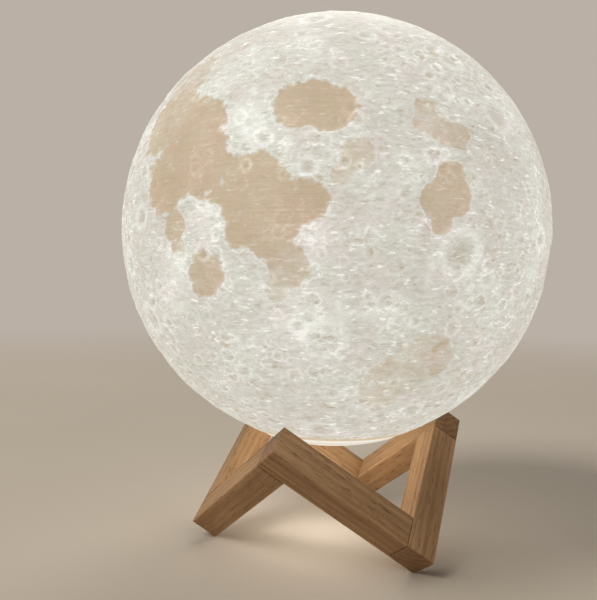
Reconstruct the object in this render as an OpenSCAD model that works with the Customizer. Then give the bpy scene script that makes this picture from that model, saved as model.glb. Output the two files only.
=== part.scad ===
// Moon lamp: a thin printed moon globe resting in a three-footed stand of six square bars.
// The origin is on the floor, under the globe's centre. +Z is up and -Y is the lamp's front.
// The stand follows the zigzag of a cube's edges, with the cube standing on one corner.

/* [Moon] */
// Outer diameter of the moon globe
moon_d = 150; // [120:1:200]
// Wall thickness of the moon globe
moon_wall = 2; // [1.6:0.1:3]
// Number of craters that the whole globe would have without its seas
crater_count = 170; // [40:1:220]
// Radius of the smallest crater
crater_r_min = 1.5; // [1:0.1:2.5]
// Radius of the largest crater
crater_r_max = 6.5; // [4:0.1:8]
// Greatest depth of a sea below the globe's round
sea_depth = 0.6; // [0.3:0.05:0.9]

/* [Stand] */
// Edge of the cube whose corners the stand follows, measured outside
stand_edge = 61; // [56:0.5:80]
// Width and height of the square bars
bar_w = 10.3; // [8:0.1:12]
// Rounding of the bars' long and end edges
bar_ease = 0.5; // [0.3:0.1:1]
// Rounding of a bar's inner edge where it meets a foot
foot_round = 1.5; // [1:0.1:3]
// Height taken off each foot's lowest corner to make its flat
foot_flat = 0.7; // [0.5:0.1:1.5]
// Space between the globe and the three corners that carry it
seat_gap = 0.3; // [0.1:0.1:0.5]
// Diameter of the wooden dowels
dowel_d = 5; // [4:0.5:6]
// Depth of a dowel in the side of a bar
dowel_side = 6; // [4:0.5:6.5]
// Depth of a dowel in the end of a bar
dowel_end = 10; // [8:0.5:14]

/* [Base cap] */
// How far the cap stands out from the globe's round
cap_proud = 0.4; // [0.2:0.1:1]
// Wall thickness of the cap's dome
cap_wall = 2; // [1.6:0.1:2.5]
// Diameter of the flat under the cap
flat_d = 20; // [19:0.5:24]
// Wall thickness of the neck
neck_wall = 1.8; // [1.4:0.1:2]
// Height of the neck above the globe's round
neck_h = 13.4; // [12:0.1:16]
// Gap between the cap and what it turns in
turn_gap = 0.3; // [0.2:0.05:0.4]

/* [Twist lock] */
// Thickness of the ring's lips
lip_t = 1.6; // [1.4:0.1:2.2]
// Wall thickness of the ring
ring_wall = 3.5; // [2.5:0.1:5]
// Height of the ring's wall above its lip
ring_h = 5.5; // [4:0.1:8]
// Reach of the lugs out from the neck
lug_reach = 1.6; // [1.3:0.1:2.4]
// Thickness of the lugs on the neck
lug_t = 2; // [1.6:0.1:2.6]
// Angle that each lug spans
lug_angle = 24; // [16:1:28]
// Angle of the twist from locked to free
twist_angle = 28; // [28:1:36]
// Height of the lugs above the lip
lug_lift = 0.1; // [0.05:0.05:0.2]

/* [Touch ring and charging] */
// Outer diameter of the touch ring
touch_d = 17.2; // [15:0.1:18]
// Thickness of the touch ring
touch_t = 1.2; // [1:0.1:1.5]
// Depth of the touch ring in the cap
touch_sunk = 0.73; // [0.5:0.01:0.9]
// Diameter of the charging socket's nose
socket_d = 6.4; // [6:0.1:7]
// Bore of the charging socket
socket_bore = 3.5; // [3.4:0.05:4]
// Diameter of the charging socket's centre pin
socket_pin = 1.3; // [1:0.05:1.4]
// Width of the charging socket's body
socket_w = 8.6; // [8:0.1:9]
// Diameter of the charging light's pipe
light_d = 2; // [1.6:0.1:2.4]
// Distance of the charging light from the middle
light_r = 12.5; // [12:0.1:14]

/* [Light module] */
// Space round the control board inside the neck
board_gap = 0.9; // [0.4:0.1:1.4]
// Thickness of the circuit boards
board_t = 1.6; // [1:0.1:2]
// Height of the control board above the middle of the cap's floor
board_lift = 6.4; // [6:0.1:7]
// Distance of the board screws in from the control board's edge
screw_in = 3.9; // [3.6:0.1:4.6]
// Diameter of the screws' shanks
screw_d = 1.9; // [1.6:0.1:2.2]
// Diameter of the screws' heads
head_d = 3.6; // [3.2:0.1:3.8]
// Height of the screws' heads
head_h = 1.3; // [1:0.1:1.6]
// Length of the battery
battery_l = 30; // [26:0.5:35]
// Width of the battery
battery_w = 22; // [19:0.5:26]
// Thickness of the battery
battery_t = 9; // [6:0.1:10]
// Space between the battery's corners and the tower's wall
battery_gap = 0.95; // [0.6:0.05:1.5]
// Thickness of the battery's foam pad
pad_t = 2.5; // [1:0.1:3]
// Height of the tower above the neck
tower_h = 12; // [11:0.1:20]
// Wall thickness of the tower
tower_wall = 1.6; // [1.2:0.1:2]
// Step in from the tower's side to the edge of the board that carries the lamps
led_board_in = 1.95; // [1:0.05:2.4]
// Distance of the lamps from the middle
led_r = 12.2; // [11:0.1:13]
// Number of lamps, half of them warm and half cool
led_count = 12; // [8:2:12]
// Diameter of the leads
lead_d = 0.9; // [0.7:0.05:1]
// Space between the battery and the leads that go up beside it
lead_off = 1.2; // [0.9:0.05:1.6]

/* [Hidden] */
// Radii of the globe and of its hollow
moon_r = moon_d / 2;
hollow_r = moon_r - moon_wall;

// The tower goes round the battery, the neck round the tower, and the opening lets the lugs through
tower_fit = 0.15;
tower_in = norm([battery_l, battery_w]) / 2 + battery_gap;
tower_r = tower_in + tower_wall;
neck_in = tower_r + tower_fit;
neck_r = neck_in + neck_wall;
lug_r = neck_r + lug_reach;
opening_r = lug_r + turn_gap;

// The wooden bars end square against each other, so each is one bar width short of the edge
bar_l = stand_edge - bar_w;
dowel_slack = 0.3;
dowel_fit = 0.05;
// A corner eased on three sides falls short of the sharp corner by this share of the rounding
corner_share = 0.38;
floor_drop = bar_l / sqrt(3) + foot_flat;
// The globe's centre is at equal distances from the three top corners. Along the cube's
// edges it lies at seat_t, 3 t^2 - (4 E + 2 w) t + 2 E^2 + w^2 = reach^2
seat_reach = moon_r + seat_gap - corner_share * bar_ease;
seat_b = 4 * stand_edge + 2 * bar_w;
seat_c = 2 * stand_edge * stand_edge + bar_w * bar_w - seat_reach * seat_reach;
seat_t = (seat_b + sqrt(seat_b * seat_b - 12 * seat_c)) / 6;
moon_z = seat_t * sqrt(3) - floor_drop;

// Height of a ball's lower surface at distance r from its axis, from the ball's centre
function under(ball_r, r) = -sqrt(ball_r * ball_r - r * r);

// The cap follows the globe's round
cap_r = opening_r - turn_gap;
dome_r = moon_r + cap_proud;
floor_r = dome_r - cap_wall;
flat_z = under(dome_r, flat_d / 2);
neck_top = under(moon_r, neck_r) + neck_h;

// The ring that the cap twists into is glued to the inside of the globe
lip_r = neck_r + turn_gap;
ring_in = opening_r;
ring_out = ring_in + ring_wall;
// Lips and stops run this far into the ring's wall
bite = 0.3;
lip_z = under(hollow_r, ring_in + bite) + 0.15;
lip_top = lip_z + lip_t;
ring_top = lip_top + ring_h;
lug_z = lip_top + lug_lift;
lug_count = 3;
lug_step = 360 / lug_count;
// The notch is this much wider than the lug on each side, and a stop stands as far off
notch_slack = 2;
stop_slack = 0.5;
stop_angle = 4;
// A stop stands back from the lip's inner edge by this much
stop_step = 0.3;
glue_gap = 0.05;

touch_top = flat_z + touch_sunk;
touch_bottom = touch_top - touch_t;
touch_hole_r = socket_d / 2 + 0.3;
touch_fit = 0.1;
touch_chamfer = 0.3;
post_r = 0.8;
post_x = -(touch_d / 2 + touch_hole_r) / 2;
post_h = 1.8;
socket_fit = 0.1;
nose_z = touch_bottom + 0.3;
socket_h = 5.5;
socket_roof = 1.5;

board_z = -floor_r + board_lift;
board_top = board_z + board_t;
board_r = neck_in - board_gap;
screw_r = board_r - screw_in;
pilot_fit = 0.05;
shank_slack = 0.15;
head_taper = 0.8;
slot_l = 1.8;
slot_w = 0.4;
slot_depth = 0.5;
tip_gap = 0.4;
post_d = 4.4;
screw_bite = 3.6;
screw_l = board_t + screw_bite;
board_screws_at = [90, 210, 330];
led_screws_at = [90, 270];
led_screw_bite = 4.6;
led_screw_l = board_t + led_screw_bite;
// Chips on the control board: [left edge, near edge, length, width, height]
chips = [[-3, -9, 5, 4, 1.3], [4, 5, 4, 4, 1.1], [-6, 6, 3.2, 1.6, 1.2]];
// Coil on the control board: [right of the middle, behind the middle, diameter, height]
coil = [6, -6, 5, 2.2];
// The small charging lamp under the control board
charge_chip = [2, 1.2, 0.6];

tower_top = neck_top + tower_h;
plate_t = 2;
plate_z = tower_top - plate_t;
rim_h = 1.5;
skirt_gap = 0.9;
boss_h = 5;
snap_w = 6;
snap_h = 1.6;
snap_reach = 1.2;
snap_drop = 4.4;
snap_z = neck_top - snap_drop;
snap_fit = 0.2;
snaps_at = [30, 150, 270];
battery_top = plate_z - pad_t;
battery_z = battery_top - battery_t;
led_top = tower_top + board_t;
led_board_r = tower_r - led_board_in;
led_size = [2.8, 3.5, 0.8];
lead_x = battery_l / 2 + lead_off + lead_d / 2;
lead_end = 0.5;
lead_gap = 1;
lead_hole_fit = 0.22;
lead_hole_r = norm([lead_gap + lead_d / 2, lead_d / 2]) + lead_hole_fit;
// The battery's leads bow out to the tower's wall, and its plug stands this far in from there
plug_room = 4.05;
plug_end = plug_room - tower_in;
plug_size = [6, 6, 4];
bow_past = 0.2;
bow_x = -tower_in - bow_past;

// Seas on the side that faces front: [degrees to the right of the front, degrees up, radius]
front_seas = [
    [13, 21, 7], [18, 21, 7],
    [-12.5, 21, 8.5], [-12.5, 13, 10], [-18.5, 7, 8], [-6, 6, 6], [-13, -2, 5],
    [3.5, 6, 6], [8, 0, 8.5], [14.5, 1, 5.5], [7, -6, 6], [11, -12, 5],
    [-8.5, -13.5, 5.5], [43, 5.5, 5], [41, 0.5, 5], [40, 20.5, 4.5], [45, 16, 5],
    [44, -32, 7], [36, -38, 7], [-19, 33.5, 9], [-26, 22, 8]
];
// Seas on the far side, which has fewer
back_seas = [
    [78, -9, 7], [95, 37, 8], [112, -24, 9], [121, -30, 6], [150, 24, 9], [162, 19, 6],
    [-62, -34, 7], [-88, 9, 9], [-98, 3, 7], [-128, -19, 6], [-139, -12, 8], [177, -36, 8]
];
seas = concat(front_seas, back_seas);

// A steady spread of numbers from 0 to 1 in place of chance
function spread(i, k) = let (s = sin(i * 127.1 + k * 311.7) * 43758.5453) s - floor(s);
function heading(lon, lat) = [cos(lat) * sin(lon), -cos(lat) * cos(lon), sin(lat)];
// A shallow basin drops by this much at its middle
function basin_depth(a) = min(sea_depth, 0.4 * moon_r * (1 - cos(a)));
function sea_share(v, s) = acos(min(1, v * heading(s[0], s[1]))) / s[2];
function in_sea(v) = min([for (s = seas) sea_share(v, s)]) < 0.95;
// Craters wind round the globe from its top to a little above the opening
crater_low = -62;
crater_high = 86;
golden_turn = 137.508;
function crater_lat(i) = asin(sin(crater_high) - (sin(crater_high) - sin(crater_low)) * i / crater_count);
function crater(i) = [
    i * golden_turn + 9 * spread(i, 1),
    crater_lat(i) + 5 * (spread(i, 2) - 0.5),
    crater_r_min + (crater_r_max - crater_r_min) * pow(spread(i, 3), 3)
];
craters = [
    for (i = [0 : crater_count - 1])
        let (c = crater(i))
        if (!in_sea(heading(c[0], c[1])) || (spread(i, 4) > 0.7 && c[2] < 3)) c
];
// A crater is this deep for its radius
crater_base = 0.1;
crater_slope = 0.11;

// Smoothness of the large and the small round forms
fine = 180;
round_fn = 96;
small_fn = 32;

// ---- Stand ----

// Stands a cube's corner on the floor, its diagonal upright
module on_corner() {
    translate([0, 0, -floor_drop])
        rotate([0, 0, -90])
            rotate([0, -atan(sqrt(2)), 0])
                rotate([0, 0, -45])
                    children();
}

// What is left of a corner's square outside its rounding
module corner_cut(r) {
    difference() {
        translate([-1, -1])
            square(r + 1);
        translate([r, r])
            circle(r, $fn = small_fn);
    }
}

// A rectangle with rounded corners, from the one at the origin anticlockwise
module eased_outline(size, r) {
    difference() {
        square(size);
        corner_cut(r[0]);
        translate([size[0], 0])
            mirror([1, 0])
                corner_cut(r[1]);
        translate(size)
            rotate(180)
                corner_cut(r[2]);
        translate([0, size[1]])
            mirror([0, 1])
                corner_cut(r[3]);
    }
}

// A square bar along X with every edge eased. It starts full and ends square against the next
module eased_bar(end_round) {
    e = bar_ease;
    intersection() {
        linear_extrude(bar_w)
            eased_outline([bar_l, bar_w], [e, e, e, e]);
        translate([0, bar_w, 0])
            rotate([90, 0, 0])
                linear_extrude(bar_w)
                    eased_outline([bar_l, bar_w], [e, e, end_round, e]);
        rotate([90, 0, 90])
            linear_extrude(bar_l)
                eased_outline([bar_w, bar_w], [e, e, e, e]);
    }
}

module dowel_hole(depth) {
    translate([0, 0, -depth])
        cylinder(h = depth + 1, d = dowel_d + 2 * dowel_fit, $fn = small_fn);
}

// A hole in the bar's far end
module end_hole() {
    translate([bar_l, bar_w / 2, bar_w / 2])
        rotate([0, 90, 0])
            dowel_hole(dowel_end + dowel_slack);
}

// Bar that rises from a foot to a top corner
module rising_bar() {
    translate([stand_edge, 0, 0])
        rotate([0, 0, 90])
            difference() {
                eased_bar(bar_ease);
                end_hole();
                translate([bar_w / 2, bar_w / 2, bar_w])
                    dowel_hole(dowel_side + dowel_slack);
            }
}

// Bar that comes down from a top corner and ends against the next foot
module falling_bar() {
    translate([stand_edge, stand_edge, 0])
        rotate([0, 0, 180])
            difference() {
                eased_bar(foot_round);
                end_hole();
                translate([bar_w / 2, bar_w, bar_w / 2])
                    rotate([-90, 0, 0])
                        dowel_hole(dowel_side + dowel_slack);
            }
}

// One of the three equal sides of the stand, on the floor, with its feet cut flat
module stand_side(k) {
    rotate([0, 0, 120 * k])
        difference() {
            on_corner()
                children();
            translate([0, 0, -moon_r])
                linear_extrude(moon_r)
                    square(4 * moon_r, center = true);
        }
}

// A dowel along Z with its joint at the origin, its longer part upwards
module dowel() {
    tip = 0.5;
    low = dowel_side;
    high = dowel_end;
    r = dowel_d / 2;
    rotate_extrude($fn = small_fn)
        polygon([
            [0, -low], [r - tip, -low], [r, tip - low],
            [r, high - tip], [r - tip, high], [0, high]
        ]);
}

// The dowels lie inside the bars, end grain to side grain
module apex_dowels() {
    color("burlywood")
        for (k = [0 : 2])
            rotate([0, 0, 120 * k])
                on_corner()
                    translate([stand_edge - bar_w / 2, bar_l, bar_w / 2])
                        rotate([90, 0, 0])
                            dowel();
}

module foot_dowels() {
    color("burlywood")
        for (k = [0 : 2])
            rotate([0, 0, 120 * k])
                on_corner()
                    translate([stand_edge - bar_w / 2, bar_w / 2, bar_w])
                        dowel();
}

module front_bar_left() { color("peru") stand_side(0) rising_bar(); }
module front_bar_right() { color("sienna") stand_side(0) falling_bar(); }
module right_bar_front() { color("peru") stand_side(1) rising_bar(); }
module right_bar_rear() { color("sienna") stand_side(1) falling_bar(); }
module left_bar_rear() { color("peru") stand_side(2) rising_bar(); }
module left_bar_front() { color("sienna") stand_side(2) falling_bar(); }

// ---- Moon ----

// Everything in the globe is placed from the globe's centre
module at_centre() {
    translate([0, 0, moon_z])
        children();
}

// Turns +Z to a place on the globe
module toward(lon, lat) {
    rotate([0, 0, lon - 90])
        rotate([0, 90 - lat, 0])
            children();
}

// What a sea leaves off the globe's round: all that lies outside a larger, flatter ball
module sea_cap(s) {
    t = basin_depth(s[2]);
    back = (moon_r * moon_r - pow(moon_r - t, 2)) / (2 * (moon_r - t - moon_r * cos(s[2])));
    margin = 1.5;
    toward(s[0], s[1])
        difference() {
            translate([0, 0, moon_r * cos(s[2] + 2 * margin)])
                cylinder(h = moon_r / 8, r = moon_r * sin(s[2] + margin), $fn = round_fn);
            translate([0, 0, -back])
                sphere(moon_r - t + back, $fn = fine);
        }
}

// The small ball that hollows a crater
module crater_ball(c) {
    depth = crater_base + crater_slope * c[2];
    ball_r = (c[2] * c[2] + depth * depth) / (2 * depth);
    toward(c[0], c[1])
        translate([0, 0, moon_r - depth + ball_r])
            sphere(ball_r, $fn = small_fn * 2);
}

module moon_shell() {
    color("oldlace")
        at_centre()
            difference() {
                sphere(moon_r, $fn = fine);
                for (s = seas)
                    sea_cap(s);
                for (c = craters)
                    crater_ball(c);
                sphere(hollow_r, $fn = fine);
                translate([0, 0, -moon_d])
                    cylinder(h = moon_d, r = opening_r, $fn = round_fn);
            }
}

// ---- Twist lock ----

// A slice of a round part, from angle a to angle b
module slice(a, b, z0, z1) {
    reach = ring_out * 2;
    mid = (a + b) / 2;
    translate([0, 0, z0])
        linear_extrude(z1 - z0)
            polygon([
                [0, 0],
                [reach * cos(a), reach * sin(a)],
                [reach * cos(mid), reach * sin(mid)],
                [reach * cos(b), reach * sin(b)]
            ]);
}

module tube(r_out, r_in, z0, z1) {
    translate([0, 0, z0])
        difference() {
            cylinder(h = z1 - z0, r = r_out, $fn = round_fn);
            translate([0, 0, -1])
                cylinder(h = z1 - z0 + 2, r = r_in, $fn = round_fn);
        }
}

// A piece of a ring that grows inward from the lock ring's wall
module wall_piece(r_in, a, b, z0, z1) {
    intersection() {
        tube(ring_in + bite, r_in, z0, z1);
        slice(a, b, z0 - 1, z1 + 1);
    }
}

// Ring with three lips that hold the lugs, and a stop at each end of the twist
module lock_ring() {
    notch = lug_angle / 2 + notch_slack;
    seat_r = hollow_r - glue_gap;
    stop_at = lug_angle / 2 + stop_slack;
    color("ivory")
        at_centre() {
            rotate_extrude($fn = round_fn)
                polygon([
                    [ring_in, under(seat_r, ring_in)], [ring_out, under(seat_r, ring_out)],
                    [ring_out, ring_top], [ring_in, ring_top]
                ]);
            for (k = [0 : lug_count - 1])
                rotate([0, 0, k * lug_step]) {
                    wall_piece(lip_r, twist_angle + notch, twist_angle + lug_step - notch, lip_z, lip_top);
                    wall_piece(
                        lip_r + stop_step, -stop_at - stop_angle, -stop_at,
                        lip_top - bite, lip_top + lug_t
                    );
                    wall_piece(
                        lip_r + stop_step, twist_angle + notch + stop_slack,
                        twist_angle + notch + stop_slack + stop_angle, lip_top - bite, lip_top + lug_t
                    );
                }
        }
}

// ---- Base cap and what it carries ----

// Posts that carry the control board, cut to the cap's floor
module board_posts() {
    intersection() {
        sphere(dome_r - cap_wall / 2, $fn = fine);
        for (a = board_screws_at)
            rotate([0, 0, a])
                translate([screw_r, 0, -moon_r])
                    cylinder(h = moon_r + board_z, d = post_d, $fn = small_fn);
    }
}

module base_cap() {
    color("white")
        at_centre()
            difference() {
                union() {
                    intersection() {
                        difference() {
                            sphere(dome_r, $fn = fine);
                            sphere(floor_r, $fn = fine);
                        }
                        translate([0, 0, flat_z])
                            cylinder(h = dome_r / 2, r = cap_r, $fn = round_fn);
                    }
                    intersection() {
                        tube(neck_r, neck_in, -moon_r, neck_top);
                        sphere(dome_r - cap_wall / 2, $fn = fine);
                    }
                    for (k = [0 : lug_count - 1])
                        rotate([0, 0, k * lug_step])
                            intersection() {
                                tube(lug_r, neck_r - 0.5, lug_z, lug_z + lug_t);
                                slice(-lug_angle / 2, lug_angle / 2, lug_z - 1, lug_z + lug_t + 1);
                            }
                    board_posts();
                }
                for (a = board_screws_at)
                    rotate([0, 0, a])
                        translate([screw_r, 0, board_top - screw_l - tip_gap])
                            cylinder(h = moon_r, r = screw_d / 2 + pilot_fit, $fn = small_fn);
                translate([0, 0, -moon_d])
                    cylinder(h = moon_d + touch_top, r = touch_d / 2 + touch_fit, $fn = round_fn);
                translate([0, 0, -moon_d])
                    cylinder(h = moon_d, r = socket_d / 2 + socket_fit, $fn = round_fn);
                translate([post_x, 0, -moon_d])
                    cylinder(h = moon_d, r = post_r + touch_fit, $fn = small_fn);
                translate([0, -light_r, -moon_d])
                    cylinder(h = moon_d, d = light_d + 2 * pilot_fit, $fn = small_fn);
                for (a = snaps_at)
                    rotate([0, 0, a])
                        translate([neck_in - 1, -snap_w / 2 - snap_fit, snap_z - snap_fit])
                            cube([neck_wall + 2, snap_w + 2 * snap_fit, snap_h + 2 * snap_fit]);
            }
}

// Metal ring that switches the lamp when touched. A post on it reaches through the cap
module touch_ring() {
    r = touch_d / 2;
    c = touch_chamfer;
    color("silver")
        at_centre()
            union() {
                rotate_extrude($fn = round_fn)
                    polygon([
                        [touch_hole_r, touch_top], [touch_hole_r, touch_bottom + c],
                        [touch_hole_r + c, touch_bottom], [r - c, touch_bottom],
                        [r, touch_bottom + c], [r, touch_top]
                    ]);
                translate([post_x, 0, touch_top - touch_t / 2])
                    cylinder(h = post_h + touch_t / 2, r = post_r, $fn = small_fn);
            }
}

// Bent leaf that joins the touch ring's post to the control board
module touch_contact() {
    low = touch_top + post_h;
    leaf_t = 0.25;
    leaf_w = 2;
    foot = 2.4;
    rise = board_z - low;
    color("gold")
        at_centre()
            translate([post_x, leaf_w / 2, low])
                rotate([90, 0, 0])
                    linear_extrude(leaf_w)
                        polygon([
                            [-foot, rise], [foot / 3, rise], [foot / 3, rise - leaf_t],
                            [leaf_t - foot, rise - leaf_t], [leaf_t - foot, rise * 0.55],
                            [foot / 2, rise * 0.2], [foot / 2, 0], [-foot / 2, 0],
                            [-foot / 2, leaf_t], [foot / 2 - leaf_t, leaf_t],
                            [foot / 2 - leaf_t, rise * 0.2 - leaf_t / 2], [-foot, rise * 0.55 - leaf_t]
                        ]);
}

// Round charging socket with its centre pin, hanging under the control board
module charge_socket() {
    body_z = board_z - socket_h;
    bore_top = board_z - socket_roof;
    color("black")
        at_centre()
            difference() {
                union() {
                    translate([-socket_w / 2, -socket_w / 2, body_z])
                        cube([socket_w, socket_w, board_z - body_z]);
                    translate([0, 0, nose_z])
                        cylinder(h = board_z - nose_z, d = socket_d, $fn = round_fn);
                }
                difference() {
                    translate([0, 0, nose_z - 1])
                        cylinder(h = bore_top - nose_z + 1, d = socket_bore, $fn = round_fn);
                    translate([0, 0, nose_z + 1])
                        cylinder(h = bore_top - nose_z, d = socket_pin, $fn = small_fn);
                }
            }
}

// Clear pipe that brings the charging light to the outside
module charge_light() {
    end_z = under(dome_r, light_r);
    seat_z = under(floor_r, light_r) + 0.3;
    color("aquamarine")
        at_centre()
            translate([0, -light_r, 0]) {
                translate([0, 0, end_z])
                    cylinder(h = board_z - charge_chip[2] - 0.3 - end_z, d = light_d, $fn = small_fn);
                translate([0, 0, seat_z])
                    cylinder(h = 0.8, d = light_d + 1.4, $fn = small_fn);
            }
}

// ---- Light module ----

module control_board() {
    color("darkgreen")
        at_centre()
            translate([0, 0, board_z])
                difference() {
                    cylinder(h = board_t, r = board_r, $fn = round_fn);
                    for (a = board_screws_at)
                        rotate([0, 0, a])
                            translate([screw_r, 0, -1])
                                cylinder(h = board_t + 2, r = screw_d / 2 + shank_slack, $fn = small_fn);
                }
}

// Chips and coil on top of the board, and the charging lamp under it
module control_chips() {
    color("dimgray")
        at_centre() {
            for (c = chips)
                translate([c[0], c[1], board_top])
                    cube([c[2], c[3], c[4]]);
            translate([coil[0], coil[1], board_top])
                cylinder(h = coil[3], d = coil[2], $fn = small_fn);
            translate([-charge_chip[0] / 2, -light_r - charge_chip[1] / 2, board_z - charge_chip[2]])
                cube(charge_chip);
        }
}

module battery_plug() {
    color("snow")
        at_centre()
            translate([plug_end, -plug_size[1] / 2, board_top])
                cube(plug_size);
}

// Pan-head screw, its head resting at the origin and its shank down
module pan_screw(l) {
    translate([0, 0, -l])
        cylinder(h = l + head_h / 2, d = screw_d, $fn = small_fn);
    difference() {
        cylinder(h = head_h, d1 = head_d, d2 = head_d - head_taper, $fn = small_fn);
        for (a = [0, 90])
            rotate([0, 0, a])
                translate([-slot_l / 2, -slot_w / 2, head_h - slot_depth])
                    cube([slot_l, slot_w, 2 * slot_depth]);
    }
}

module board_screws() {
    color("gray")
        at_centre()
            for (a = board_screws_at)
                rotate([0, 0, a])
                    translate([screw_r, 0, board_top])
                        pan_screw(screw_l);
}

// White housing that stands in the neck and lifts the lamps into the globe
module module_tower() {
    skirt_z = board_top + skirt_gap;
    color("whitesmoke")
        at_centre()
            difference() {
                union() {
                    difference() {
                        translate([0, 0, skirt_z])
                            cylinder(h = tower_top - skirt_z, r = tower_r, $fn = round_fn);
                        translate([0, 0, skirt_z - 1])
                            cylinder(h = plate_z - skirt_z + 1, r = tower_in, $fn = round_fn);
                    }
                    tube(neck_r, tower_r - 0.5, neck_top, neck_top + rim_h);
                    for (a = snaps_at)
                        rotate([0, 0, a])
                            translate([tower_r - 0.5, -snap_w / 2, snap_z])
                                cube([snap_reach + 0.5, snap_w, snap_h]);
                    for (a = led_screws_at)
                        rotate([0, 0, a])
                            translate([screw_r, 0, plate_z - boss_h])
                                cylinder(h = boss_h + plate_t / 2, d = post_d, $fn = small_fn);
                }
                for (a = led_screws_at)
                    rotate([0, 0, a])
                        translate([screw_r, 0, led_top - led_screw_l - tip_gap])
                            cylinder(h = moon_r, r = screw_d / 2 + pilot_fit, $fn = small_fn);
                translate([lead_x, 0, plate_z - 1])
                    cylinder(h = plate_t + 2, r = lead_hole_r, $fn = small_fn);
            }
}

// Flat pouch cell with rounded edges
module battery() {
    r = 2;
    color("lightsteelblue")
        at_centre()
            translate([-battery_l / 2, battery_w / 2, battery_z])
                rotate([90, 0, 0])
                    linear_extrude(battery_w)
                        eased_outline([battery_l, battery_t], [r, r, r, r]);
}

module battery_pad() {
    inset = 3;
    color("darkslategray")
        at_centre()
            translate([inset - battery_l / 2, inset - battery_w / 2, battery_top])
                cube([battery_l - 2 * inset, battery_w - 2 * inset, pad_t]);
}

// The board under the lamps lies on the tower, with a hole for the leads
module led_board() {
    color("ghostwhite")
        at_centre()
            translate([0, 0, tower_top])
                difference() {
                    cylinder(h = board_t, r = led_board_r, $fn = round_fn);
                    for (a = led_screws_at)
                        rotate([0, 0, a])
                            translate([screw_r, 0, -1])
                                cylinder(h = board_t + 2, r = screw_d / 2 + shank_slack, $fn = small_fn);
                    translate([lead_x, 0, -1])
                        cylinder(h = board_t + 2, r = lead_hole_r, $fn = small_fn);
                }
}

// Every second lamp of the circle, from the first one on
module leds(first) {
    step = 360 / led_count;
    at_centre()
        for (k = [first : 2 : led_count - 1])
            rotate([0, 0, (k + 0.5) * step])
                translate([led_r - led_size[0] / 2, -led_size[1] / 2, led_top])
                    cube(led_size);
}

module warm_leds() { color("orange") leds(0); }
module cool_leds() { color("lightyellow") leds(1); }

module led_screws() {
    color("gray")
        at_centre()
            for (a = led_screws_at)
                rotate([0, 0, a])
                    translate([screw_r, 0, led_top])
                        pan_screw(led_screw_l);
}

// Points of a smooth curve that starts at p[0], leans to p[1] and p[2], and ends at p[3]
function curve(p, n) = [
    for (i = [0 : n])
        let (t = i / n, u = 1 - t)
        u * u * u * p[0] + 3 * u * u * t * p[1] + 3 * u * t * t * p[2] + t * t * t * p[3]
];

// A lead swept along points that stay in one plane through the Y direction
module lead(points) {
    sides = 8;
    last = len(points) - 1;
    along = [
        for (i = [0 : last])
            let (d = points[min(i + 1, last)] - points[max(i - 1, 0)])
            d / norm(d)
    ];
    rings = [
        for (i = [0 : last], s = [0 : sides - 1])
            let (a = s * 360 / sides, across = [0, 1, 0], up = cross(along[i], across))
            points[i] + lead_d / 2 * (cos(a) * across + sin(a) * up)
    ];
    walls = [
        for (i = [0 : last - 1], s = [0 : sides - 1])
            let (a = i * sides + s, b = i * sides + (s + 1) % sides)
            each [[a, b, b + sides], [a, b + sides, a + sides]]
    ];
    ends = [
        [for (s = [sides - 1 : -1 : 0]) s],
        [for (s = [0 : sides - 1]) last * sides + s]
    ];
    polyhedron(points = rings, faces = concat(walls, ends), convexity = 4);
}

// Red and black leads from the battery's end down to its plug
module battery_leads() {
    cell_x = -battery_l / 2;
    cell_z = battery_z + battery_t / 2;
    plug_z = board_top + plug_size[2] / 2;
    color("firebrick")
        at_centre()
            for (y = [-1.2, 1.2])
                lead(concat(
                    [[cell_x, y, cell_z]],
                    curve([
                        [cell_x - lead_end, y, cell_z], [bow_x, y, cell_z],
                        [bow_x, y, plug_z], [plug_end - lead_end, y, plug_z]
                    ], 10),
                    [[plug_end, y, plug_z]]
                ));
}

// Three leads from the control board up beside the battery to the lamps' board
module led_leads() {
    up_z = plate_z - 2;
    over = led_top + lead_d / 2;
    color("firebrick")
        at_centre()
            for (k = [-1 : 1])
                lead(concat(
                    [[lead_x, k * lead_gap, board_top], [lead_x, k * lead_gap, up_z]],
                    curve([
                        [lead_x, k * lead_gap, led_top - 0.4], [lead_x, k * lead_gap, over + 1.2],
                        [lead_x - 0.4, k * lead_gap, over], [lead_x - 1.7, k * lead_gap, over]
                    ], 6),
                    [[lead_x - 1.7 - lead_end, k * lead_gap, over]]
                ));
}

front_bar_left();
front_bar_right();
right_bar_front();
right_bar_rear();
left_bar_rear();
left_bar_front();
apex_dowels();
foot_dowels();
moon_shell();
lock_ring();
base_cap();
touch_ring();
touch_contact();
charge_socket();
charge_light();
control_board();
control_chips();
battery_plug();
board_screws();
module_tower();
battery();
battery_pad();
battery_leads();
led_board();
warm_leds();
cool_leds();
led_screws();
led_leads();
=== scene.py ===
import math

import bmesh
import bpy
import numpy as np
from mathutils import Matrix, Vector, noise


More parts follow.
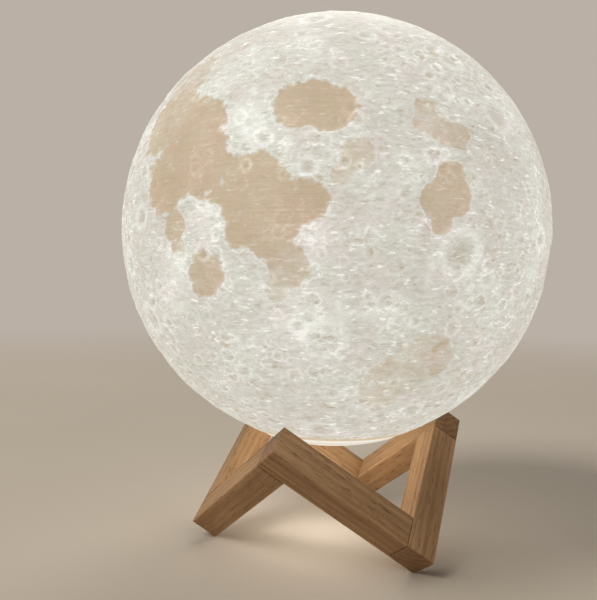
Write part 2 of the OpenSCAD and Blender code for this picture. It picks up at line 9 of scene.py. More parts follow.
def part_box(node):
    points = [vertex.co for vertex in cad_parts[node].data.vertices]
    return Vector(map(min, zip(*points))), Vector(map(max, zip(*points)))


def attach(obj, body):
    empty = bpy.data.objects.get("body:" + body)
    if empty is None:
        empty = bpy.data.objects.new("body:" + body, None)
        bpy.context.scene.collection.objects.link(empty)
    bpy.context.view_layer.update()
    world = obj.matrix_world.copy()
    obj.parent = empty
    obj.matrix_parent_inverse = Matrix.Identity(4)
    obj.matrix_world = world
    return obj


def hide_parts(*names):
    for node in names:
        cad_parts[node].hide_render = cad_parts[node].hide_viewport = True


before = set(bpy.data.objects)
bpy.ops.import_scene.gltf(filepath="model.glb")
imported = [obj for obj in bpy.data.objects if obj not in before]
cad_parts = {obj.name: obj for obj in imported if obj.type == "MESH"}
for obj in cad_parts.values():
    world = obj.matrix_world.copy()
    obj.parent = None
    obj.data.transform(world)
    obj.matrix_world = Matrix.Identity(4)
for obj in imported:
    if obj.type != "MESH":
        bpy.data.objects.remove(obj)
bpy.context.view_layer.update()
mm = 0.001
print("frame loaded:", len(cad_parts), "nodes")


# colours are written as they look on a screen, 0 to 255, and sockets take them linear
def srgb(r, g, b):
    out = []
    for c in (r, g, b):
        c = c / 255
        out.append(c / 12.92 if c <= 0.04045 else ((c + 0.055) / 1.055) ** 2.4)
    return (*out, 1.0)


# adds a shader node: a socket in inputs is joined, a number or colour is set
def put(tree, kind, inputs=None, **settings):
    node = tree.nodes.new("ShaderNode" + kind)
    for key, value in settings.items():
        setattr(node, key, value)
    for key, value in (inputs or {}).items():
        if isinstance(value, bpy.types.NodeSocket):
            tree.links.new(value, node.inputs[key])
        else:
            node.inputs[key].default_value = value
    return node


def add(tree, a, b, clamp=False):
    return put(tree, "Math", {0: a, 1: b}, operation="ADD", use_clamp=clamp).outputs[0]


def less(tree, a, b, clamp=False):
    return put(tree, "Math", {0: a, 1: b}, operation="SUBTRACT", use_clamp=clamp).outputs[0]


def times(tree, a, b):
    return put(tree, "Math", {0: a, 1: b}, operation="MULTIPLY").outputs[0]


def size(tree, a):
    return put(tree, "Math", {0: a}, operation="ABSOLUTE").outputs[0]


# a noise swings round 0.5, so this gives it a share that swings round 0
def swing(tree, value, share):
    return times(tree, less(tree, value, 0.5), share)


# 0 below low and 1 above high, or from lowOut to highOut
def fade(tree, value, low, high, lowOut=0.0, highOut=1.0):
    return put(tree, "MapRange", {"Value": value, "From Min": low, "From Max": high,
                                  "To Min": lowOut, "To Max": highOut}).outputs["Result"]


def ramp(tree, value, *stops):
    node = put(tree, "ValToRGB", {"Fac": value})
    marks = node.color_ramp.elements
    while len(marks) < len(stops):
        marks.new(0.5)
    for mark, (at, colour) in zip(marks, stops):
        mark.position = at
        mark.color = colour
    return node.outputs["Color"]


def blend(tree, share, a, b, how="MIX"):
    return put(tree, "Mix", {0: share, 6: a, 7: b}, data_type="RGBA", blend_type=how).outputs[2]


def freshMaterial(name, roughness, metallic=0.0, specular=0.5):
    mat = bpy.data.materials.new(name)
    mat.use_nodes = True
    shader = mat.node_tree.nodes["Principled BSDF"]
    shader.inputs["Roughness"].default_value = roughness
    shader.inputs["Metallic"].default_value = metallic
    shader.inputs["Specular IOR Level"].default_value = specular
    return mat, mat.node_tree, shader


# the point being shaded, measured from a centre and turned to a piece's own axes
def pointFrom(tree, centre=(0, 0, 0), turn=(0, 0, 0)):
    here = put(tree, "TexCoord").outputs["Object"]
    moved = put(tree, "Mapping", {"Vector": here, "Location": [-c for c in centre]}).outputs[0]
    return put(tree, "Mapping", {"Vector": moved, "Rotation": turn}).outputs[0]


def stretched(tree, vector, scale, shift=(0, 0, 0)):
    return put(tree, "Mapping", {"Vector": vector, "Scale": scale, "Location": shift}).outputs[0]


def grain(tree, vector, scale=1.0, detail=3.0, rough=0.5, bend=0.0):
    return put(tree, "TexNoise", {"Vector": vector, "Scale": scale, "Detail": detail,
                                  "Roughness": rough, "Distortion": bend}).outputs["Fac"]


def bump(tree, shader, height, strength, distance):
    out = put(tree, "Bump", {"Height": height, "Strength": strength, "Distance": distance})
    tree.links.new(out.outputs["Normal"], shader.inputs["Normal"])


def dress(nodeName, mat):
    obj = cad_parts[nodeName]
    obj.data.materials.clear()
    obj.data.materials.append(mat)


cameraPlan = dict(bearing=19.76, distance=228.4, height=85.7, heading=22.86,
                  pitch=-0.15, roll=0.77, lens=37.2, sensor=36.0)  # degrees and millimetres


def makeCamera(plan):
    data = bpy.data.cameras.new("camera")
    data.sensor_fit = "VERTICAL"
    data.sensor_height = plan["sensor"]
    data.sensor_width = plan["sensor"]
    data.lens = plan["lens"]
    cam = bpy.data.objects.new("camera", data)
    bpy.context.scene.collection.objects.link(cam)
    bearing = math.radians(plan["bearing"])
    away = plan["distance"] * mm
    spot = (away * math.sin(bearing), -away * math.cos(bearing), plan["height"] * mm)
    cam.matrix_world = (Matrix.Translation(spot)
                        @ Matrix.Rotation(math.radians(plan["heading"]), 4, "Z")
                        @ Matrix.Rotation(math.radians(90 + plan["pitch"]), 4, "X")
                        @ Matrix.Rotation(math.radians(plan["roll"]), 4, "Z"))
    bpy.context.scene.camera = cam


makeCamera(cameraPlan)
print("camera set")

# the printed moon, made from the CAD globe's own box
moonLow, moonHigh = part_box("moon_shell")
moonR = (moonHigh.x - moonLow.x) / 2
moonZ = moonHigh.z - moonR
openingZ = moonLow.z - moonZ
openingR = math.sqrt(moonR ** 2 - openingZ ** 2)

moonPlan = dict(
    wall=2.0 * mm,
    ballLevel=6, splits=2,  # icosphere level, then each edge cut in three
    insideSteps=96,
    headroom=0.32 * mm,  # the mean surface lies this far under the CAD's round
    seaDepth=0.5 * mm,
    swell=0.16 * mm, swellScale=9.0,  # slow rise and fall of the highlands
    swellLost=0.85,  # share of the swell that a full sea has lost
    calm=(3.2, 7.0),  # the relief comes in between these degrees from the opening
    edgeReach=10.0 * mm,  # the edge shade goes from 0 at the opening to 1 this far up the globe
    shoreSharp=9.0,  # how little two seas that meet melt into one
    shoreWobble=[(0.13, 5.0, 4, 0.0), (0.05, 17.0, 3, 9.0)],  # share, scale, octaves, shift
    shoreSlope=0.07, shoreShade=0.25,  # half width of a shore in the relief, and in its shade
    # craters: how many, radius in millimetres, degrees up where they start and end, degrees from
    # one to the next, degrees that each strays sideways and up, then the share that the seas have
    # covered and the largest radius left there
    craterCount=170, craterMin=1.5, craterMax=6.5, craterLats=(86, -62),
    craterTurn=137.508, craterStray=(9, 5), craterLost=0.7, craterSeaMax=3,
    # pits: the same, but with the sine of the highest one and the span of sines below it
    pitCount=900, pitMin=1.1, pitMax=2.6, pitSines=(0.999, 1.93),
    pitTurn=222.492, pitStray=(11, 3), pitLost=0.93,
    # a bowl: depth in millimetres and its growth with the radius, then its lip, all at power 1
    bowl=dict(depth=0.12, deeper=0.1, lip=0.42, lipWidth=0.24, reach=1.9),
    bowlShade=(0.75, 1.25),  # how dark a bowl's middle is, and how fast that fades outwards
    # single craters of the front: degrees right, degrees up, radius in millimetres
    rings=[(1.8, 8.3, 1.5), (24.8, 7.4, 1.1), (12.2, -24.3, 2.2), (-7.8, 0.7, 1.4)],
    ringPower=1.2,
    # seas: degrees to the right of the front, degrees up, radius in degrees, strength
    frontSeas=[(12, 21, 5.5, 1), (18.5, 20, 5.2, 1), (15, 22, 5.2, 1),
               (-12.5, 19, 7, 1), (-12.5, 13, 9.5, 1), (-18.5, 7.5, 7.5, 1), (-5.5, 6, 5.5, 1),
               (-25, 34, 7, 0.55), (-25, 23, 8.5, 0.8), (-16, -3, 3.3, 0.85), (-15, -8, 2.3, 0.6),
               (3.5, 6, 5.5, 1), (8, 0, 7.7, 1), (2, 0, 5, 1), (1.2, -4.6, 4, 1), (14.5, 1, 4.7, 1),
               (7, -6, 5, 0.9),
               (11, -12, 4, 0.55), (8, -17, 2.5, 0.4), (-8.7, -13.5, 4.7, 0.85),
               (39.5, 21, 2.3, 0.5), (39, 17.5, 2.6, 0.45), (42.5, 16.5, 3, 0.6),
               (46.5, 15.5, 2.8, 0.6), (44, 6, 3.6, 0.85), (41, 1.5, 4.2, 0.85),
               (45, 2, 3.4, 0.85), (41.5, -3, 2.2, 0.7), (24.4, 10, 3.3, 0.5), (21.4, 5.5, 2.2, 0.4),
               (44, -32, 6.3, 0.4), (35.5, -39, 6.6, 0.4), (39, -35, 5.9, 0.4)],
    farSeas=[(92, -9, 6, 0.6), (95, 37, 7, 0.7), (112, -24, 8, 0.8), (121, -30, 6, 0.8),
             (150, 24, 8, 0.9), (162, 19, 6, 0.9), (-62, -34, 6, 0.6), (-88, 9, 8, 0.9),
             (-98, 3, 7, 0.9), (-128, -19, 6, 0.7), (-139, -12, 7, 0.7), (177, -36, 7, 0.6)],
    # bright ground: degrees right, degrees up, half width, half height, strength
    brights=[(1, 19, 3.2, 3.2, 1), (2.6, 15, 3, 3, 0.9), (16.3, -6, 3, 3, 0.8),
             (12.2, -24.3, 7.5, 5, 0.8), (-7.8, 0.7, 3.2, 3.2, 0.7), (-15, -10, 4, 4, 0.7),
             (-10.4, 30.7, 4, 4, 0.6), (40, -11.7, 1.2, 3.6, 0.7), (-5.5, -3.5, 3, 3, 0.6),
             (7, -17.7, 5.7, 2.9, 0.6), (27.6, -21.2, 7.2, 2, 0.5), (-18.4, -17, 5, 5, 0.5),
             (13, 39, 3, 6, 0.5), (68, 22, 4, 9, 0.5),
             (73, 4, 4, 10, 0.5), (72, -14, 4, 9, 0.4), (-5.5, 18, 2.4, 3, 0.8), (-70, 20, 4, 4, 0.7),
             (120, 5, 5, 4, 0.7), (-150, -35, 6, 5, 0.8),
             (80, 30, 4, 3, 0.6), (170, 34, 5, 4, 0.6), (-112, -22, 5, 4, 0.6), (96, -38, 6, 4, 0.6)],
    # thin bright rays: degrees right, degrees up, length, strength
    rays=[(12.2, -24.3, 14, 0.5), (1, 17, 5, 0.3), (-150, -35, 12, 0.5), (120, 5, 10, 0.4)],
)


# a steady spread of numbers from 0 to 1 in place of chance
def spread(i, k):
    s = math.sin(math.radians(i * 127.1 + k * 311.7)) * 43758.5453
    return s - math.floor(s)


def heading(lon, lat):
    lon = math.radians(lon)
    lat = math.radians(lat)
    return np.array((math.cos(lat) * math.sin(lon), -math.cos(lat) * math.cos(lon), math.sin(lat)))


# how many degrees each direction lies from a place on the moon
def degreesFrom(dirs, v):
    return np.degrees(np.arccos(np.clip(dirs @ v, -1, 1)))


def soft(x, low, high):
    t = np.clip((x - low) / (high - low), 0, 1)
    return t * t * (3 - 2 * t)


def fractalAt(points, scale, octaves, shift):
    move = Vector((shift, shift * 0.7, -shift))
    return np.array([noise.fractal(Vector(p) * scale + move, 0.8, 2.1, octaves) for p in points])


# positive in the seas and negative outside, and how strong the nearest sea is
def seaField(dirs, seas, plan):
    sharp = plan["shoreSharp"]
    wobble = sum(share * fractalAt(dirs, *row) for share, *row in plan["shoreWobble"])
    near = np.full(len(dirs), 1e-9)
    strength = np.full(len(dirs), 1e-9)
    for lon, lat, radius, power in seas:
        weight = np.exp(-sharp * (degreesFrom(dirs, heading(lon, lat)) / radius - 1.0 + wobble))
        near += weight
        strength += weight * power
    return np.log(near) / sharp, strength / near


# wide craters where the CAD globe has them, then many small pits
def craterList(plan, inSea):
    rows = []
    top, low = [math.sin(math.radians(lat)) for lat in plan["craterLats"]]
    aside, up = plan["craterStray"]
    for i in range(plan["craterCount"]):
        lat = math.degrees(math.asin(top - (top - low) * i / plan["craterCount"]))
        v = heading(i * plan["craterTurn"] + aside * spread(i, 1), lat + up * (spread(i, 2) - 0.5))
        radius = plan["craterMin"] + (plan["craterMax"] - plan["craterMin"]) * spread(i, 3) ** 3
        if not inSea(v) or (spread(i, 4) > plan["craterLost"] and radius < plan["craterSeaMax"]):
            rows.append((v, radius, 0.5 + 0.5 * spread(i, 5)))
    top, span = plan["pitSines"]
    aside, up = plan["pitStray"]
    for i in range(plan["pitCount"]):
        lat = math.degrees(math.asin(top - span * (i + 0.5) / plan["pitCount"]))
        v = heading(i * plan["pitTurn"] + aside * spread(i, 7), lat + up * (spread(i, 6) - 0.5))
        radius = plan["pitMin"] + (plan["pitMax"] - plan["pitMin"]) * spread(i, 8) ** 2
        if not inSea(v) or spread(i, 9) > plan["pitLost"]:
            rows.append((v, radius, 0.2 + 0.8 * spread(i, 10) ** 2))
    for lon, lat, radius in plan["rings"]:
        rows.append((heading(lon, lat), radius, plan["ringPower"]))
    return rows


# bright ground as soft ovals, with a few thin rays
def brightField(dirs, plan):
    glow = np.zeros(len(dirs))
    for lon, lat, wide, high, power in plan["brights"]:
        v = heading(lon, lat)
        east = heading(lon + 90, 0)
        north = np.cross(v, east)
        x = np.degrees(dirs @ east) / wide
        y = np.degrees(dirs @ north) / high
        glow += power * np.exp(-(x ** 2 + y ** 2)) * (dirs @ v > 0)
    for lon, lat, length, power in plan["rays"]:
        v = heading(lon, lat)
        east = heading(lon + 90, 0)
        north = np.cross(v, east)
        away = degreesFrom(dirs, v)
        turn = np.arctan2(dirs @ north, dirs @ east)
        streak = np.sin(turn * 4 + 2 * np.sin(turn * 3 + lon)) * np.sin(turn * 7 + lat)
        glow += power * np.clip(streak, 0, 1) ** 3 * np.exp(-away / length) * soft(away, 1, 4)
    return np.clip(glow, 0, 1)


# height in metres over the mean surface, and the shades that the material reads
def moonRelief(dirs, plan):
    seas = plan["frontSeas"] + plan["farSeas"]
    field, strength = seaField(dirs, seas, plan)
    sea = soft(field, -plan["shoreSlope"], plan["shoreSlope"]) * strength
    swell = plan["swell"] * fractalAt(dirs, plan["swellScale"], 5, 4.0)
    height = swell * (1 - plan["swellLost"] * sea) - plan["seaDepth"] * sea
    rim = np.zeros(len(dirs))
    headings = [(heading(lon, lat), radius) for lon, lat, radius, power in seas]

    # a little inside the round of any sea
    def inSea(v):
        shares = [math.degrees(math.acos(min(1, float(v @ s)))) / radius for s, radius in headings]
        return min(shares) < 0.95

    bowl = plan["bowl"]
    dark, darkEnd = plan["bowlShade"]
    for v, radius, power in craterList(plan, inSea):
        reach = bowl["reach"] * radius * mm / moonR
        near = np.nonzero(dirs @ v > math.cos(reach))[0]
        if not len(near):
            continue
        t = np.arccos(np.clip(dirs[near] @ v, -1, 1)) * moonR / (radius * mm)
        depth = (bowl["depth"] + bowl["deeper"] * radius) * mm * power
        lip = np.exp(-((t - 1.0) / bowl["lipWidth"]) ** 2)
        height[near] += depth * (np.where(t < 1, t ** 2 - 1, 0) + bowl["lip"] * lip)
        rim[near] += power * (lip - dark * np.clip(1 - t * darkEnd, 0, 1))
    shore = soft(field, -plan["shoreShade"], plan["shoreShade"])
    shades = dict(shore=shore, strength=strength, rim=np.clip(rim, -1, 1),
                  glow=brightField(dirs, plan))
    return height, shades


# cuts the bottom off a ball and makes the cut a true circle
def cutOpening(bm, cutZ):
    everything = bm.verts[:] + bm.edges[:] + bm.faces[:]
    bmesh.ops.bisect_plane(bm, geom=everything, dist=1e-7, plane_co=(0, 0, cutZ),
                           plane_no=(0, 0, -1), clear_outer=True)
    for v in {v for e in bm.edges if e.is_boundary for v in e.verts}:
        flat = Vector((v.co.x, v.co.y)).normalized() * openingR
        v.co = (flat.x, flat.y, cutZ)


def makeMoonSkin(plan):
    bm = bmesh.new()
    bmesh.ops.create_icosphere(bm, subdivisions=plan["ballLevel"], radius=moonR)
    bmesh.ops.subdivide_edges(bm, edges=bm.edges[:], cuts=plan["splits"], use_grid_fill=True)
    for v in bm.verts:
        v.co = v.co.normalized() * moonR
    cutOpening(bm, openingZ)
    innerR = moonR - plan["wall"]
    inner = bmesh.new()
    bmesh.ops.create_uvsphere(inner, u_segments=plan["insideSteps"],
                              v_segments=plan["insideSteps"] // 2, radius=innerR)
    bmesh.ops.reverse_faces(inner, faces=inner.faces[:])
    cutOpening(inner, -math.sqrt(innerR ** 2 - openingR ** 2))
    for f in inner.faces:
        f.material_index = 1
    spare = bpy.data.meshes.new("spare")
    inner.to_mesh(spare)
    inner.free()
    bm.from_mesh(spare)
    bpy.data.meshes.remove(spare)
    bmesh.ops.bridge_loops(bm, edges=[e for e in bm.edges if e.is_boundary])
    for f in bm.faces:
        f.smooth = True
    mesh = bpy.data.meshes.new("moonSkin")
    bm.to_mesh(mesh)
    bm.free()
    print("moon ball:", len(mesh.polygons), "faces")

    co = np.empty(len(mesh.vertices) * 3, np.float32)
    mesh.vertices.foreach_get("co", co)
    co = co.reshape(-1, 3).astype(float)
    dist = np.linalg.norm(co, axis=1)
    outside = np.nonzero(dist > moonR - plan["wall"] / 2)[0]
    dirs = co[outside] / dist[outside, None]
    height, shades = moonRelief(dirs, plan)
    fromOpening = degreesFrom(dirs, np.array((0, 0, -1))) - math.degrees(math.asin(openingR / moonR))
    lift = np.minimum(height - plan["headroom"], 0) * soft(fromOpening, *plan["calm"])
    shades["edge"] = np.clip(np.radians(fromOpening) * moonR / plan["edgeReach"], 0, 1)
    co[outside] = dirs * (moonR + lift)[:, None]
    co[:, 2] += moonZ
    mesh.vertices.foreach_set("co", co.astype(np.float32).ravel())
    for name, values in shades.items():
        full = np.zeros(len(mesh.vertices), np.float32)
        full[outside] = values
        mesh.attributes.new(name, "FLOAT", "POINT").data.foreach_set("value", full)
    mesh.update()
    obj = bpy.data.objects.new("moonSkin", mesh)
    bpy.context.scene.collection.objects.link(obj)
    return obj


moonFinish = dict(
    glowPower=0.83,  # share of a tone that the lamp inside gives
    skinShare=0.26,  # share of a tone that room light gives back
    roughness=0.6,
    sea=[(0.0, (178, 158, 130)), (0.5, (200, 181, 156)), (1.0, (224, 210, 189))],
    land=[(0.0, (170, 150, 124)), (0.24, (199, 189, 173)), (0.42, (211, 207, 197)),
          (0.7, (231, 229, 221)), (1.0, (253, 251, 246))],
    tints=[(0.35, (252, 255, 252)), (0.65, (255, 252, 252))],  # the plastic is a little uneven
    tintScale=120.0,
    # along the opening, as shares of the plan's edge reach: a white lip, then a thin cream line
    lip=(250, 247, 238), lipTo=0.42, lipSoft=0.06, hem=(216, 196, 158), hemTo=0.64, hemSoft=0.08,
    edgeShare=0.85,
    clouds=(55.0, 5.0, 0.6), cloudShare=0.4,  # scale, detail, roughness and bend of a noise
    blots=(150.0, 3.0, 0.6, 0.4),
    # below, marks per metre along X, Y and Z, and how much each kind shows
    dashes=(300, 300, 950), dashShare=0.5,  # bright dashes where the printed lines catch the light
    dashAt=(0.61, 0.71), darkDashAt=(0.36, 0.28), darkDashShare=0.4,  # where their noise shows
    lines=(60, 60, 2600), lineShare=0.2, lineBump=0.2,  # printed lines all round
    veins=(210, 210, 340), veinShare=0.14,
    crumbs=(480, 480, 820), crumbShare=0.29,
    paintedLean=0.5 * mm, paintedLeanShare=0.34,  # painted light and shade: each small bump is paler on its upper side and darker on its lower, as if lit from above
    rimShare=0.26,
    ragged=(1.5, 1.1, 1.5),  # how far veins, crumbs and blots push a shore
    bared=0.5,  # how far bright ground pushes a shore
    patches=(2.6, 2.0),  # veins and blots in a weak sea
    seaAt=(0.32, 0.70),  # a sea's colour comes in between these
    bankShare=0.2, bankAt=0.24, bankWidth=0.16, bankOff=0.2,  # bright banks along the shores
    bend=4 * mm, bends=(0.6, 0.8),  # crumbs and veins push the small craters out of round
    # small craters: cells per metre, rim at this share of a cell, width of the rim, share
    rings=[(165, 0.36, 0.07, 0.25), (300, 0.34, 0.1, 0.18)],
    ringFields=(0.42, 0.58, 0.12, 1.0),  # from and to in the clouds, share outside and in a field
    flecks=(240, 0.07, 0.12), fleckShare=0.18,  # cells per metre, inner and outer share of a cell
    landGround=0.38, landGlow=(0.5, 0.26),  # tone of plain land, then what bright ground adds
    seaGround=0.40, seaTone=2.0, seaRough=0.6,
    bumpPower=0.6, bumpDepth=0.4 * mm,
)


# thin crests where a noise crosses its middle
def crests(tree, value, width=0.16):
    return fade(tree, size(tree, less(tree, value, 0.5)), 0.0, width, 1.0, 0.0)


# craters of mixed sizes: pale rims, and floors that are a little lower
def ringField(tree, vector, row):
    scale, rimAt, width, share = row
    away = put(tree, "TexVoronoi", {"Vector": vector, "Scale": scale}, feature="F1").outputs["Distance"]
    rim = fade(tree, size(tree, less(tree, away, rimAt)), 0.0, width, share, 0.0)
    floor = fade(tree, away, rimAt - width, rimAt - 2 * width, 0.0, share * 0.5)
    return less(tree, rim, floor)


def moonMaterial(look):
    mat, tree, shader = freshMaterial("moonPrint", look["roughness"], specular=0.3)
    here = pointFrom(tree, centre=(0, 0, moonZ))
    marks = {}
    for name in ("shore", "strength", "rim", "glow", "edge"):
        marks[name] = put(tree, "Attribute", attribute_name=name).outputs["Fac"]
    clouds = grain(tree, here, *look["clouds"])
    blots = grain(tree, here, *look["blots"])
    veins = grain(tree, stretched(tree, here, look["veins"]), 1.0, 4.0, 0.6, 0.6)
    crumbs = grain(tree, stretched(tree, here, look["crumbs"]), 1.0, 3.0, 0.6, 0.3)
    # painted light and shade: the small relief's noise less the same noise a little higher, so upper
    # sides go paler and lower sides darker
    above = stretched(tree, here, look["crumbs"], (0, 0, look["paintedLean"] * look["crumbs"][2]))
    paintedLean = less(tree, crumbs, grain(tree, above, 1.0, 3.0, 0.6, 0.3))
    dashes = grain(tree, stretched(tree, here, look["dashes"]), 1.0, 2.0, 0.55)
    lines = grain(tree, stretched(tree, here, look["lines"]), 1.0, 2.0, 0.6)
    # the shore is ragged: small relief pushes the edge of a sea to and fro
    byVeins, byCrumbs, byBlots = look["ragged"]
    ragged = add(tree, swing(tree, veins, byVeins), swing(tree, crumbs, byCrumbs))
    ragged = add(tree, marks["shore"], ragged)
    ragged = add(tree, ragged, swing(tree, blots, byBlots))
    bared = less(tree, ragged, times(tree, marks["glow"], look["bared"]))
    # a weak sea is patchy
    byVeins, byBlots = look["patches"]
    patches = add(tree, swing(tree, veins, byVeins), swing(tree, blots, byBlots))
    patches = add(tree, times(tree, patches, less(tree, 1.0, marks["strength"])), marks["strength"])
    sea = times(tree, fade(tree, bared, *look["seaAt"]), fade(tree, patches, 0.0, 1.0))
    land = less(tree, 1.0, sea)
    fromBank = size(tree, less(tree, bared, look["bankAt"]))
    bank = fade(tree, fromBank, 0.0, look["bankWidth"], look["bankShare"], 0.0)
    nearShore = fade(tree, marks["shore"], 0.0, look["bankOff"], 0.0, marks["strength"])
    bank = times(tree, bank, nearShore)

    byCrumbs, byVeins = look["bends"]
    wavy = add(tree, swing(tree, crumbs, byCrumbs), swing(tree, veins, byVeins))
    wavy = times(tree, wavy, look["bend"])
    bent = put(tree, "VectorMath", {0: here, 1: wavy}, operation="ADD").outputs[0]
    rings = ringField(tree, bent, look["rings"][0])
    rings = add(tree, rings, ringField(tree, bent, look["rings"][1]))
    # craters come in fields, with calmer ground between them
    rings = times(tree, rings, fade(tree, clouds, *look["ringFields"]))
    rough = add(tree, times(tree, crests(tree, veins), look["veinShare"]),
                swing(tree, crumbs, look["crumbShare"]))
    rough = add(tree, add(tree, rough, times(tree, paintedLean, look["paintedLeanShare"])), add(tree, rings, bank))
    pale = times(tree, fade(tree, dashes, *look["dashAt"]), look["dashShare"])
    dark = fade(tree, dashes, *look["darkDashAt"])
    dark = times(tree, dark, look["dashShare"] * look["darkDashShare"])
    rough = less(tree, add(tree, rough, pale), dark)
    cells, inner, outer = look["flecks"]
    away = put(tree, "TexVoronoi", {"Vector": bent, "Scale": cells}, feature="F1").outputs["Distance"]
    rough = less(tree, rough, fade(tree, away, inner, outer, look["fleckShare"], 0.0))
    tone = swing(tree, clouds, look["cloudShare"])
    tone = add(tree, tone, times(tree, marks["rim"], look["rimShare"]))
    tone = add(tree, tone, swing(tree, lines, look["lineShare"]))
    landTone = add(tree, add(tree, tone, rough), look["landGround"])
    byVeins, plain = look["landGlow"]
    glow = times(tree, marks["glow"], add(tree, swing(tree, veins, byVeins), plain))
    landTone = add(tree, landTone, glow, clamp=True)
    seaTone = add(tree, times(tree, tone, look["seaTone"]), times(tree, rough, look["seaRough"]))
    seaTone = add(tree, seaTone, look["seaGround"], clamp=True)
    landColour = ramp(tree, landTone, *[(at, srgb(*c)) for at, c in look["land"]])
    seaColour = ramp(tree, seaTone, *[(at, srgb(*c)) for at, c in look["sea"]])
    colour = blend(tree, sea, landColour, seaColour)
    cast = grain(tree, here, look["tintScale"], 3.0)
    tint = ramp(tree, cast, *[(at, srgb(*c)) for at, c in look["tints"]])
    colour = blend(tree, 1.0, colour, tint, "MULTIPLY")
    lip = fade(tree, marks["edge"], look["lipTo"], look["lipTo"] + look["lipSoft"], 1.0, 0.0)
    bare = fade(tree, marks["edge"], look["hemTo"], look["hemTo"] + look["hemSoft"], 1.0, 0.0)
    edge = blend(tree, lip, srgb(*look["hem"]), srgb(*look["lip"]))
    colour = blend(tree, times(tree, bare, look["edgeShare"]), colour, edge)
    skin = blend(tree, 1.0, colour, (*[look["skinShare"]] * 3, 1.0), "MULTIPLY")
    tree.links.new(skin, shader.inputs["Base Color"])
    tree.links.new(colour, shader.inputs["Emission Color"])
    shader.inputs["Emission Strength"].default_value = look["glowPower"]
    height = add(tree, times(tree, rough, land), swing(tree, lines, look["lineBump"]))
    bump(tree, shader, height, look["bumpPower"], look["bumpDepth"])
    return mat


insideFinish = dict(dark=(214, 208, 196), pale=(232, 228, 219), roughness=0.7,
                    layers=(80, 80, 2400), depth=0.2 * mm)


def innerMaterial(look):
    mat, tree, shader = freshMaterial("moonInside", look["roughness"], specular=0.3)
    here = pointFrom(tree, centre=(0, 0, moonZ))
    layers = grain(tree, stretched(tree, here, look["layers"]), 1.0, 2.0)
    colour = ramp(tree, layers, (0.3, srgb(*look["dark"])), (0.7, srgb(*look["pale"])))
    tree.links.new(colour, shader.inputs["Base Color"])
    bump(tree, shader, layers, 0.3, look["depth"])
    return mat


moonSkin = makeMoonSkin(moonPlan)
moonSkin.data.materials.append(moonMaterial(moonFinish))
moonSkin.data.materials.append(innerMaterial(insideFinish))
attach(moonSkin, "moon")
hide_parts("moon_shell")
print("moon done")

woodPlan = dict(
    deep=(120, 84, 53), mid=(168, 129, 89), pale=(200, 162, 119),
    pore=(98, 64, 38), endDark=(104, 68, 41), arrisWearAndHighlight=(206, 168, 126),
    ringGap=2.1 * mm, ringWave=4.0, ringShare=0.16,  # growth rings
    # cells per metre along and across the grain, and how much each kind shows
    fleck=(210, 2100, 2100), poreAt=(0.59, 0.67), poreShare=0.62,
    fibre=(70, 1500, 1500), fibreShare=0.42,
    streak=(16, 360, 360), streakShare=0.55,
    cloud=(28, 80, 80), cloudShare=0.5,
    ground=0.52,  # tone of plain wood
    endSkin=0.35 * mm, endShare=0.75,  # end grain drinks the oil and goes darker
    arrisSkin=0.5 * mm, arrisShare=0.6, arrisAt=(0.35, 0.6),  # handled edges are paler: partly wear, partly a painted highlight along the edges
    roughness=(0.44, 0.6), bumpPower=0.4, bumpDepth=0.12 * mm,
)
# bar name: side of the stand, and whether it rises from its foot
barPlan = {
    "front_bar_left": (0, True), "front_bar_right": (0, False),
    "right_bar_front": (1, True), "right_bar_rear": (1, False),
    "left_bar_rear": (2, True), "left_bar_front": (2, False),
}


# turns the bar's own X, along its length, into the frame
def barTurn(side, rising):
    corner = (Matrix.Rotation(math.radians(-90), 3, "Z")
              @ Matrix.Rotation(-math.atan(math.sqrt(2)), 3, "Y")
              @ Matrix.Rotation(math.radians(-45), 3, "Z"))
    own = Matrix.Rotation(math.radians(90 if rising else 180), 3, "Z")
    return Matrix.Rotation(math.radians(120 * side), 3, "Z") @ corner @ own


# middle and half size of a bar, along its own axes
def barSize(nodeName, turn):
    own = np.array([v.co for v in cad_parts[nodeName].data.vertices]) @ np.array(turn)
    low = own.min(0)
    high = own.max(0)
    return (low + high) / 2, (high - low) / 2


